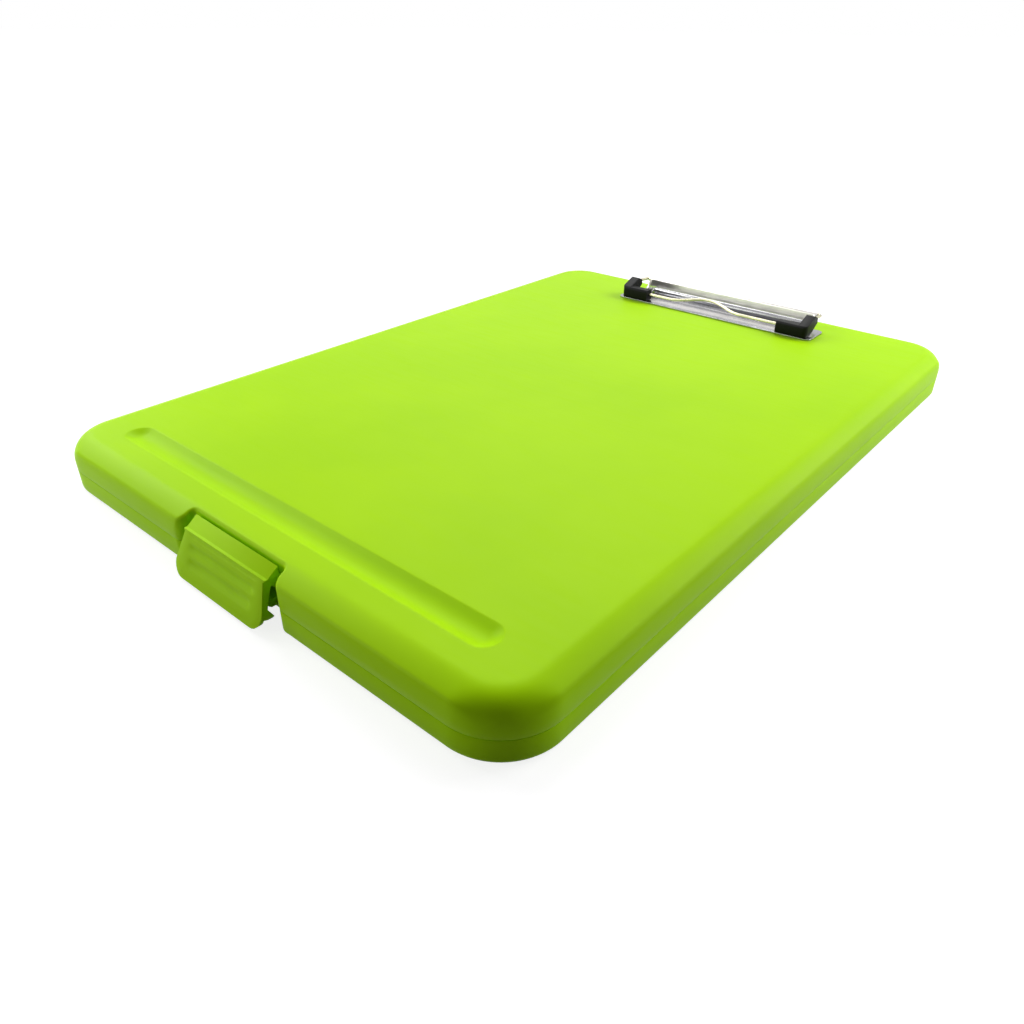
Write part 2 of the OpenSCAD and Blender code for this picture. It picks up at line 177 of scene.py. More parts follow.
def tones(tree: Tree, value: Socket, low: tuple[float, str], high: tuple[float, str]) -> Socket:
    """Turn a value into a colour between two tones.

    Args:
        tree: Node tree of the material.
        value: Socket with the value.
        low: Value and sRGB hex colour of the first tone.
        high: Value and sRGB hex colour of the second tone.

    Returns:
        The socket with the colour.
    """
    ramp = add_node(tree, "ShaderNodeValToRGB", inputs={"Fac": value})
    for element, (position, code) in zip(ramp.color_ramp.elements, (low, high)):
        element.position = position
        element.color = linear(code)
    return ramp.outputs["Color"]


def spread(
    tree: Tree, value: Socket, low: float, high: float, start: float = 0.0, stop: float = 1.0
) -> Socket:
    """Map a value from one range to another.

    Args:
        tree: Node tree of the material, floor or world.
        value: Socket with the value.
        low: Result where the value is start.
        high: Result where the value is stop.
        start: Value where the range starts.
        stop: Value where the range ends.

    Returns:
        The socket with the result.
    """
    inputs = {"Value": value, "From Min": start, "From Max": stop, "To Min": low, "To Max": high}
    return add_node(tree, "ShaderNodeMapRange", inputs=inputs).outputs["Result"]


def surface(material: Material, height: Socket, depth_mm: float, inputs: dict) -> None:
    """End a material with its relief and its shader.

    Args:
        material: Material to end.
        height: Socket with the relief's height.
        depth_mm: Depth of the relief in millimetres.
        inputs: The shader's other inputs.
    """
    tree = material.node_tree
    relief = {"Height": height, "Distance": depth_mm * MM, "Strength": 1.0}
    bump = add_node(tree, "ShaderNodeBump", inputs=relief)
    shader = add_node(tree, "ShaderNodeBsdfPrincipled", inputs={**inputs, "Normal": bump.outputs["Normal"]})
    output = add_node(tree, "ShaderNodeOutputMaterial")
    tree.links.new(shader.outputs["BSDF"], output.inputs["Surface"])


@dataclass(frozen=True)
class MouldedPolypropylene:
    """Injection-moulded polypropylene: satin, dyed through, with a fine spark-eroded grain."""

    name: str = "lime_polypropylene_moulded"
    colour: str = "B0E600"
    shade: str = "AAE100"
    roughness: float = 0.42
    grain_gloss: float = 0.08
    ior: float = 1.49
    specular: float = 0.07
    grain_mm: float = 0.55
    grain_depth_mm: float = 0.006
    cloud_mm: float = 70.0
    rub_mm: float = 200.0
    rub_stretch: Point = (9.0, 90.0, 90.0)

    def build(self) -> Material:
        """Build the node material.

        Returns:
            The finished material.
        """
        material, tree = new_material(self.name)
        here = on_piece(tree)
        # slow drift of the dye through the sheet, a few percent either way
        cloud = noise(tree, here, self.cloud_mm, 3.0, 0.55)
        tint = tones(tree, cloud, (0.35, self.shade), (0.65, self.colour))
        # the mould's eroded grain, about half a millimetre across, drawn as coarse as it shows
        grain = noise(tree, here, self.grain_mm, 2.0, 0.6)
        # faint long rub marks from paper and sleeves
        stretch = add_node(tree, "ShaderNodeMapping", inputs={"Vector": here, "Scale": self.rub_stretch})
        rubs = noise(tree, stretch.outputs["Vector"], self.rub_mm, 5.0, 0.7)
        worn = spread(tree, rubs, self.roughness - 0.03, self.roughness + 0.06, 0.45, 0.75)
        gloss = add_node(
            tree, "ShaderNodeMath", {"operation": "MULTIPLY_ADD"}, {0: grain, 1: self.grain_gloss, 2: worn}
        )
        looks = {"Base Color": tint, "Roughness": gloss.outputs["Value"]}
        looks |= {"IOR": self.ior, "Specular IOR Level": self.specular}
        surface(material, grain, self.grain_depth_mm, looks)
        return material


@dataclass(frozen=True)
class PlatedSheet:
    """Bright nickel plate over pressed steel, with the faint drag lines of the press and handling haze."""

    name: str
    colour: str = "A2A2A4"
    dull: str = "949497"
    roughness: float = 0.2
    haze_mm: float = 9.0
    line_mm: float = 0.35
    line_depth_mm: float = 0.003
    line_stretch: Point = (0.03, 1.0, 1.0)

    def build(self) -> Material:
        """Build the node material.

        Returns:
            The finished material.
        """
        material, tree = new_material(self.name)
        here = on_piece(tree)
        haze = noise(tree, here, self.haze_mm, 4.0, 0.6)
        tone = tones(tree, haze, (0.3, self.dull), (0.6, self.colour))
        # drag lines run along the clip
        stretch = add_node(tree, "ShaderNodeMapping", inputs={"Vector": here, "Scale": self.line_stretch})
        lines = noise(tree, stretch.outputs["Vector"], self.line_mm, 2.0)
        gloss = spread(tree, haze, self.roughness - 0.06, self.roughness + 0.1)
        looks = {"Base Color": tone, "Roughness": gloss, "Metallic": 1.0}
        surface(material, lines, self.line_depth_mm, looks)
        return material


@dataclass(frozen=True)
class MouldedNylon:
    """Black moulded nylon: satin, slightly scuffed, so it greys a little where it is rubbed."""

    name: str = "black_nylon_moulded"
    colour: str = "0B0C0B"
    rubbed: str = "121312"
    roughness: float = 0.45
    ior: float = 1.53
    specular: float = 0.1
    wear_mm: float = 3.0
    grain_mm: float = 0.3
    grain_depth_mm: float = 0.01

    def build(self) -> Material:
        """Build the node material.

        Returns:
            The finished material.
        """
        material, tree = new_material(self.name)
        here = on_piece(tree)
        wear = noise(tree, here, self.wear_mm, 4.0, 0.7)
        tone = tones(tree, wear, (0.4, self.colour), (0.75, self.rubbed))
        grain = noise(tree, here, self.grain_mm, 2.0)
        gloss = spread(tree, wear, self.roughness - 0.08, self.roughness + 0.14)
        looks = {"Base Color": tone, "Roughness": gloss, "IOR": self.ior, "Specular IOR Level": self.specular}
        surface(material, grain, self.grain_depth_mm, looks)
        return material


@dataclass
class Finishes:
    """The materials of the object, built once."""

    lime: Material
    plate: Material
    lever: Material
    wire: Material
    steel: Material
    black: Material

    @classmethod
    def make(cls) -> Finishes:
        """Build every finish."""
        return cls(
            lime=MouldedPolypropylene().build(),
            plate=PlatedSheet("nickel_plated_sheet").build(),
            lever=PlatedSheet(
                "satin_nickel_plated_strip", colour="E0DDD8", dull="D0CDC8", roughness=0.28
            ).build(),
            # the wire's cream-yellow colour is partly the warm tone of nickel and partly painted reflection
            # of the lime plastic around it
            wire=PlatedSheet(
                "nickel_plated_wire", colour="C4C0A2", dull="B0AC90", roughness=0.24, line_mm=0.5
            ).build(),
            steel=PlatedSheet("zinc_plated_steel", colour="B4B4B0", dull="A8A8A4", roughness=0.32).build(),
            black=MouldedNylon().build(),
        )


class Bench:
    """Modelling moves made with Blender's own operators, shared by every sub-assembly."""

    @staticmethod
    def clear() -> None:
        """Leave edit mode and deselect everything."""
        if bpy.context.object and bpy.context.object.mode != "OBJECT":
            bpy.ops.object.mode_set(mode="OBJECT")
        bpy.ops.object.select_all(action="DESELECT")

    @staticmethod
    def take(piece: Piece) -> None:
        """Select one piece alone and make it active."""
        Bench.clear()
        piece.select_set(True)
        bpy.context.view_layer.objects.active = piece

    @staticmethod
    def loft(
        name: str, rings: list[Ring], cap_first: bool = True, cap_last: bool = True, wrap: bool = False
    ) -> Piece:
        """Extrude a ring of points through a row of rings.

        Args:
            name: Name of the new piece.
            rings: Rings with the same number of points, in millimetres.
            cap_first: Close the first ring with a fill.
            cap_last: Close the last ring with a fill.
            wrap: The last ring is the first again, and is merged with it.

        Returns:
            The new mesh object, in object mode and selected alone.
        """
        Bench.clear()
        count = len(rings[0])
        bpy.ops.mesh.primitive_circle_add(vertices=count, radius=1.0, fill_type="NOTHING")
        piece = bpy.context.object
        piece.name = name
        piece.data.name = name
        bpy.ops.object.mode_set(mode="EDIT")
        mesh = bmesh.from_edit_mesh(piece.data)
        mesh.verts.ensure_lookup_table()
        for vert, point in zip(mesh.verts, rings[0]):
            vert.co = Vector(point) * MM
        bottom = [v.index for v in mesh.verts]
        current = bottom
        for ring in rings[1:]:
            mesh = bmesh.from_edit_mesh(piece.data)
            mesh.verts.ensure_lookup_table()
            where = {tuple(mesh.verts[index].co): i for i, index in enumerate(current)}
            bpy.ops.mesh.extrude_region()
            mesh = bmesh.from_edit_mesh(piece.data)
            mesh.verts.index_update()
            current = [0] * count
            for vert in [v for v in mesh.verts if v.select]:
                i = where[tuple(vert.co)]
                vert.co = Vector(ring[i]) * MM
                current[i] = vert.index
        bmesh.update_edit_mesh(piece.data)
        if wrap:
            bpy.ops.mesh.select_all(action="SELECT")
            bpy.ops.mesh.remove_doubles(threshold=SAME)
        else:
            for wanted, ids in ((cap_last, current), (cap_first, bottom)):
                if not wanted:
                    continue
                bpy.ops.mesh.select_all(action="DESELECT")
                mesh = bmesh.from_edit_mesh(piece.data)
                mesh.verts.ensure_lookup_table()
                for i in ids:
                    mesh.verts[i].select_set(True)
                mesh.select_flush(True)
                bpy.ops.mesh.edge_face_add()
        bpy.ops.object.mode_set(mode="OBJECT")
        return piece

    @staticmethod
    def outward(piece: Piece) -> None:
        """Merge doubles and turn all faces outwards.

        Args:
            piece: Piece to mend.
        """
        Bench.take(piece)
        bpy.ops.object.mode_set(mode="EDIT")
        bpy.ops.mesh.select_all(action="SELECT")
        bpy.ops.mesh.remove_doubles(threshold=SAME)
        bpy.ops.mesh.normals_make_consistent(inside=False)
        bpy.ops.object.mode_set(mode="OBJECT")

    @staticmethod
    def join(name: str, parts: list[Piece]) -> Piece:
        """Join parts into one piece.

        Args:
            name: Name of the joined piece.
            parts: Parts to join; the first is kept.

        Returns:
            The joined piece.
        """
        Bench.clear()
        for part in parts:
            part.select_set(True)
        bpy.context.view_layer.objects.active = parts[0]
        bpy.ops.object.join()
        parts[0].name = name
        parts[0].data.name = name
        return parts[0]

    @staticmethod
    def bevel(piece: Piece, width_mm: float, segments: int = 3, angle: float = 28.0) -> None:
        """Round the sharp edges with an applied Bevel modifier.

        Args:
            piece: Piece to round.
            width_mm: Width of the round in millimetres.
            segments: Steps across the round.
            angle: Least angle between faces that counts as sharp, in degrees.
        """
        Bench.take(piece)
        modifier = piece.modifiers.new("edge_round", "BEVEL")
        modifier.width = width_mm * MM
        modifier.segments = segments
        modifier.limit_method = "ANGLE"
        modifier.angle_limit = math.radians(angle)
        modifier.harden_normals = False
        modifier.miter_outer = "MITER_ARC"
        bpy.ops.object.modifier_apply(modifier=modifier.name)

    @staticmethod
    def smooth(piece: Piece, angle: float = 32.0) -> None:
        """Shade smooth below an angle between faces."""
        Bench.take(piece)
        bpy.ops.object.shade_smooth_by_angle(angle=math.radians(angle))

    @staticmethod
    def block(name: str, low: Point, high: Point, round_mm: float = 0.3) -> Piece:
        """Add a block between two corners with rounded edges.

        Args:
            name: Name of the block.
            low: Lowest corner in millimetres.
            high: Highest corner in millimetres.
            round_mm: Width of the edge round.

        Returns:
            The block.
        """
        Bench.clear()
        middle = [(a + b) / 2 * MM for a, b in zip(low, high)]
        extents = [(b - a) * MM for a, b in zip(low, high)]
        bpy.ops.mesh.primitive_cube_add(size=1.0, location=middle, scale=extents)
        piece = bpy.context.object
        piece.name = name
        bpy.ops.object.transform_apply(location=True, rotation=True, scale=True)
        Bench.bevel(piece, round_mm, 2)
        return piece

    @staticmethod
    def turned(name: str, axis_y: float, axis_z: float, profile: Profile, sides: int = 40) -> Piece:
        """Loft a tubular part along X from a closed profile of distance along X and radius.

        Args:
            name: Name of the part.
            axis_y: Y of the axis in millimetres.
            axis_z: Z of the axis in millimetres.
            profile: Pairs of x and radius.
            sides: Number of sides.

        Returns:
            The part.
        """
        turns = [math.tau * i / sides for i in range(sides)]
        rings = [
            [(x, axis_y + r * math.cos(turn), axis_z + r * math.sin(turn)) for turn in turns]
            for x, r in profile + profile[:1]
        ]
        piece = Bench.loft(name, rings, wrap=True)
        Bench.outward(piece)
        return piece

    @staticmethod
    def copy_of(node: Piece, name: str) -> Piece:
        """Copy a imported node's mesh as a clean piece with flat faces merged.

        Args:
            node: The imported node's object.
            name: Name of the copy.

        Returns:
            The copy, ready for edge rounds.
        """
        piece = bpy.data.objects.new(name, node.data.copy())
        piece.data.name = name
        bpy.context.scene.collection.objects.link(piece)
        piece.data.materials.clear()
        Bench.take(piece)
        if piece.data.has_custom_normals:
            bpy.ops.mesh.customdata_custom_splitnormals_clear()
        bpy.ops.object.mode_set(mode="EDIT")
        bpy.ops.mesh.select_all(action="SELECT")
        bpy.ops.mesh.remove_doubles(threshold=0.002 * MM)
        bpy.ops.mesh.dissolve_limited(angle_limit=FLAT)
        bpy.ops.object.mode_set(mode="OBJECT")
        return piece

    @staticmethod
    def tube(name: str, points: list[Point], radius_mm: float, sides: int = 5) -> Piece:
        """Draw a round wire along points and make it a mesh.

        Args:
            name: Name of the wire.
            points: Centre line in millimetres.
            radius_mm: Radius of the wire.
            sides: Bevel resolution of the wire's section.

        Returns:
            The wire as a mesh with closed ends.
        """
        Bench.clear()
        curve = bpy.data.curves.new(name, "CURVE")
        curve.dimensions = "3D"
        curve.bevel_depth = radius_mm * MM
        curve.bevel_resolution = sides
        curve.use_fill_caps = True
        curve.twist_mode = "MINIMUM"
        spline = curve.splines.new("POLY")
        spline.points.add(len(points) - 1)
        for knot, point in zip(spline.points, points):
            knot.co = (*(Vector(point) * MM), 1.0)
        piece = bpy.data.objects.new(name, curve)
        bpy.context.scene.collection.objects.link(piece)
        Bench.take(piece)
        bpy.ops.object.convert(target="MESH")
        Bench.outward(bpy.context.object)
        return bpy.context.object


def dress(piece: Piece, finish: Material, body: Body, replaces: str) -> None:
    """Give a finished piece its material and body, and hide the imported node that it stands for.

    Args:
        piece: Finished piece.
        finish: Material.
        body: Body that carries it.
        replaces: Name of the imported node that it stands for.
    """
    piece.data.materials.clear()
    piece.data.materials.append(finish)
    for polygon in piece.data.polygons:
        polygon.material_index = 0
    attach(piece, body.value)
    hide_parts(replaces)
    LOG.info("%s: %d faces on %s", piece.name, len(piece.data.polygons), body.value)


def mix(a: float, b: float, t: float) -> float:
    """Blend two values with an eased step."""
    t = min(max(t, 0.0), 1.0)
    t = t * t * (3 - 2 * t)
    return a + (b - a) * t


def along(table: Profile, t: float) -> float:
    """Read a value from a short table of positions and values, in straight steps."""
    for (t0, v0), (t1, v1) in zip(table, table[1:]):
        if t <= t1:
            return v0 + (v1 - v0) * (t - t0) / (t1 - t0)
    return table[-1][1]


def sleeve(x0: float, x1: float, bore: float, radius: float, chamfer: float) -> Profile:
    """Profile of a bored round from x0 to x1 with chamfered ends."""
    rise = [(x0, bore), (x0, radius - chamfer), (x0 + chamfer, radius)]
    return rise + [(x1 - chamfer, radius), (x1, radius - chamfer), (x1, bore)]


# values round the notch: its outer corner's start and end, its inner corner's start, its rear wall
OUTER_START = 1 / 3
OUTER_END = 2 / 3
INNER_START = 0.72
NOTCH_WALL = 1.0
# span of these values in which the notch's own small round takes over from the big one
TAKE_OVER = 0.22


@dataclass(frozen=True)
class PlanPoint:
    """A point of the box's outline, its inward direction, and how far into the notch it is."""

    x: float
    y: float
    nx: float
    ny: float
    notch: float

    def at(self, inset: float, z: float) -> Point:
        """Give the point moved inwards and put at a height."""
        return (self.x + self.nx * inset, self.y + self.ny * inset, z)

    def in_notch(self) -> float:
        """Share of the notch's own small edge round: 0 on the box's edge, 1 round the notch."""
        return mix(0.0, 1.0, (self.notch - OUTER_START) / TAKE_OVER)


@dataclass
class BoxPlan:
    """Outline shared by the tray and the lid, in millimetres."""

    width: float = 241.0
    length: float = 345.0
    corner: float = 21.6
    notch_half: float = 26.0
    notch_depth: float = 6.7
    notch_outer: float = 4.5
    notch_inner: float = 2.0
    seam_lead: float = 0.3
    shoulder_fade: float = 0.5
    corner_steps: int = 28
    front_steps: int = 6
    side_steps: int = 16
    rear_steps: int = 6
    outer_steps: int = 12
    inner_steps: int = 8
    wall_steps: int = 4
    # points on the front edge, by their distance from the notch, closer where the arch bends
    beside_notch: tuple[float, ...] = (0.6, 1.3, 2.1, 3.0, 4.0, 5.2, 6.6, 8.2, 10.0, 12.0, 14.0)

    @property
    def front(self) -> float:
        """Y of the latch edge."""
        return -self.length / 2

    @property
    def rear(self) -> float:
        """Y of the hinge edge."""
        return self.length / 2

    @property
    def notch_y(self) -> float:
        """Y of the notch's rear wall."""
        return self.front + self.notch_depth

    @property
    def out_x(self) -> float:
        """X where the notch's outer corner starts."""
        return self.notch_half + self.notch_outer

    @property
    def in_x(self) -> float:
        """X where the notch's inner corner ends."""
        return self.notch_half - self.notch_inner

    @staticmethod
    def _arc(
        centre: Place, radius: float, turn: Place, steps: int, notch: Place = (0.0, 0.0), hollow: bool = False
    ) -> list[PlanPoint]:
        """Sample an arc, leaving out its first point.

        Args:
            centre: X and y of its centre.
            radius: Its radius.
            turn: Its first and last angle in degrees.
            steps: Number of points.
            notch: Notch values at its start and end.
            hollow: The solid lies outside the arc, as in the notch's inner corners.

        Returns:
            The points.
        """
        points = []
        sign = 1.0 if hollow else -1.0
        for i in range(1, steps + 1):
            a = math.radians(turn[0] + (turn[1] - turn[0]) * i / steps)
            x, y = centre[0] + radius * math.cos(a), centre[1] + radius * math.sin(a)
            value = notch[0] + (notch[1] - notch[0]) * i / steps
            points.append(PlanPoint(x, y, sign * math.cos(a), sign * math.sin(a), value))
        return points

    @staticmethod
    def _run(start: Place, stop: Place, inward: Place, steps: int, notch: float = 0.0) -> list[PlanPoint]:
        """Sample a straight run, leaving out its first point.

        Args:
            start: X and y where it starts.
            stop: X and y where it ends.
            inward: Direction into the solid.
            steps: Number of points.
            notch: Notch value of them all.

        Returns:
            The points.
        """
        points = []
        for i in range(1, steps + 1):
            x, y = (a + (b - a) * i / steps for a, b in zip(start, stop))
            points.append(PlanPoint(x, y, *inward, notch))
        return points

    @staticmethod
    def _mirrored(points: list[PlanPoint]) -> list[PlanPoint]:
        """Give the left side's points for the right side's, in the order of the walk."""
        return [PlanPoint(-p.x, p.y, -p.nx, p.ny, p.notch) for p in reversed(points)]

    def outline(self) -> list[PlanPoint]:
        """Walk anticlockwise round the box from the right of the notch.

        Returns:
            Points with inward directions and notch values, which are 0 on the box's own edge.
        """
        w, l, r = self.width / 2, self.length / 2, self.corner
        wall_y, in_y, out_y = self.notch_y, self.notch_y - self.notch_inner, -l + self.notch_outer
        last = self.out_x + self.beside_notch[-1]
        half = [PlanPoint(self.out_x, -l, 0, 1, OUTER_START)]
        half += [PlanPoint(self.out_x + away, -l, 0, 1, 0.0) for away in self.beside_notch]
        half += self._run((last, -l), (w - r, -l), (0, 1), self.front_steps)
        half += self._arc((w - r, -l + r), r, (-90, 0), self.corner_steps)
        half += self._run((w, -l + r), (w, l - r), (-1, 0), self.side_steps)
        half += self._arc((w - r, l - r), r, (0, 90), self.corner_steps)
        half += self._run((w - r, l), (0, l), (0, -1), self.rear_steps)
        # the right half of the notch, from the middle of its rear wall to its outer corner
        inner, outer = (NOTCH_WALL, INNER_START), (OUTER_END, OUTER_START)
        notch = self._run((0, wall_y), (self.in_x, wall_y), (0, 1), self.wall_steps, NOTCH_WALL)
        notch += self._arc((self.in_x, in_y), self.notch_inner, (90, 0), self.inner_steps, inner, True)
        notch.append(PlanPoint(self.notch_half, out_y, 1, 0, OUTER_END))
        notch += self._arc((self.out_x, out_y), self.notch_outer, (180, 270), self.outer_steps, outer)[:-1]
        middle = PlanPoint(0, wall_y, 0, 1, NOTCH_WALL)
        return [*half, *self._mirrored(half[:-1]), *self._mirrored(notch), middle, *notch]

    def depth(self, x: float, y: float) -> float:
        """Distance of a point inside the plain outline, which has no notch."""
        qx, qy = abs(x) - (self.width / 2 - self.corner), abs(y) - (self.length / 2 - self.corner)
        return self.corner - math.hypot(max(qx, 0.0), max(qy, 0.0)) - min(max(qx, qy), 0.0)

    def _goal(self, p: PlanPoint, reach: float, shelf_y: float) -> Vector:
        """Find where the flat starts inside a point of the outline.

        Args:
            p: Point of the outline.
            reach: Distance of the flat's edge inside the box's own edge.
            shelf_y: Y of the flat's edge behind the notch.

        Returns:
            X and y of the flat's edge.
        """
        if p.notch <= 0:
            return Vector(p.at(reach, 0.0)[:2])
        if p.notch >= NOTCH_WALL:
            return Vector((p.x, shelf_y))
        travel = (p.notch - OUTER_START) / (NOTCH_WALL - OUTER_START)
        return Vector((math.copysign(self.out_x + (self.in_x - self.out_x) * travel, p.x), shelf_y))

    def skin(
        self,
        inset: float,
        edge: float,
        rim: float,
        top: float,
        shelf_y: float,
        steps: int = 14,
        small: int = 4,
        shoulder: Profile | None = None,
    ) -> list[Ring]:
        """Rings that run from a wall's top over the box's big edge round to its flat.

        The round follows the plain outline, so the notch cuts through it in an arch and has a
        small round of its own.

        Args:
            inset: Distance of the wall inside the outline.
            edge: Radius of the big round.
            rim: Radius of the notch's small round.
            top: Height of the flat.
            shelf_y: Y of the line behind the notch where the flat starts.
            steps: Steps along the big round.
            small: How many of them make the small round.
            shoulder: Profile of the edge along the straight sides, which fades into the round
                at the corners.

        Returns:
            Rings, with the wall's top first.
        """
        first_cos = math.cos(math.radians(90 * small / steps))
        rings: list[Ring] = [[] for _ in range(steps + 1)]
        for p in self.outline():
            share = p.in_notch()
            inward = Vector((p.nx, p.ny))
            start = Vector(p.at(inset, 0.0)[:2])
            goal = self._goal(p, inset + edge, shelf_y)
            step = start + inward * rim
            slant = min(abs(p.nx), abs(p.ny))
            straight = 1.0 if p.notch > 0 else mix(1.0, 0.0, slant / self.shoulder_fade)
            for j, ring in enumerate(rings):
                turn = math.radians(90 * j / steps)
                body = start + (goal - start) * (1 - math.cos(turn))
                drop = 0.0
                if j <= small:
                    bit = math.radians(90 * j / small)
                    notch = start + inward * rim * (1 - math.cos(bit))
                    drop = rim * (1 - math.sin(bit))
                else:
                    notch = step + (goal - step) * ((first_cos - math.cos(turn)) / first_cos)
                x, y = body.lerp(notch, share)
                deep = max(self.depth(x, y) - inset, 0.0)
                z = top if deep >= edge else top - edge + math.sqrt(max(edge**2 - (edge - deep) ** 2, 0.0))
                if shoulder:
                    z += straight * (along(shoulder, deep) - z)
                ring.append((x, y, z - share * drop))
        return rings

    def seam_rings(self, wall: float, seam: float, small: float, way: int) -> list[Ring]:
        """Rings over the end of a wall at the seam, from its inside to its outside.

        Args:
            wall: Thickness of the wall.
            seam: Height of the seam.
            small: Size of the outer edge's round.
            way: 1 for a wall that rises from the seam, -1 for one that ends at it.

        Returns:
            The rings.
        """
        bend = 0.3 * small
        places = [(wall, way * self.seam_lead), (wall - self.seam_lead, 0.0)]
        places += [(small, 0.0), (bend, way * bend), (0.0, way * small)]
        return [[p.at(inset, seam + rise) for p in self.outline()] for inset, rise in places]


@dataclass
class Hinges:
    """Two rear hinges: five knuckles each, taken in turn by the tray and the lid."""

    axis_y: float = 175.2
    axis_z: float = 9.0
    radius: float = 2.9
    bore: float = 1.55
    width: float = 12.0
    gap: float = 0.4
    outer_x: float = 105.0
    chamfer: float = 0.25
    root_gap: float = 0.35
    root_inset: float = 0.05

    def knuckles(self, numbers: list[int], below: bool, wall_y: float) -> list[Piece]:
        """Make the knuckles of one half of the box, with their roots on its rear wall.

        Args:
            numbers: Knuckle places counted from the outer end.
            below: The roots run below the parting line.
            wall_y: Y inside the wall where the roots start.

        Returns:
            The parts, closed and pointing outwards.
        """
        z0, z1 = self.axis_z + self.root_gap, self.axis_z + self.radius
        if below:
            z0, z1 = self.axis_z - self.radius, self.axis_z - self.root_gap
        root_y = self.axis_y - self.bore - self.root_inset
        parts = []
        for side in (1, -1):
            for number in numbers:
                x1 = self.outer_x - number * self.width - self.gap / 2
                x0 = x1 - self.width + self.gap
                profile = [(side * x, r) for x, r in sleeve(x0, x1, self.bore, self.radius, self.chamfer)]
                parts.append(Bench.turned("knuckle", self.axis_y, self.axis_z, profile))
                low = (min(side * x0, side * x1) + self.root_inset, wall_y, z0)
                high = (max(side * x0, side * x1) - self.root_inset, root_y, z1)
                parts.append(Bench.block("knuckle_root", low, high, 0.2))
        return parts


@dataclass
class Half:
    """What the tray and the lid share."""

    plan: BoxPlan = field(default_factory=BoxPlan)
    hinges: Hinges = field(default_factory=Hinges)
    seam: float = 9.0
    wall: float = 2.2
    seam_round: float = 0.35
    knuckle_sink: float = 0.8


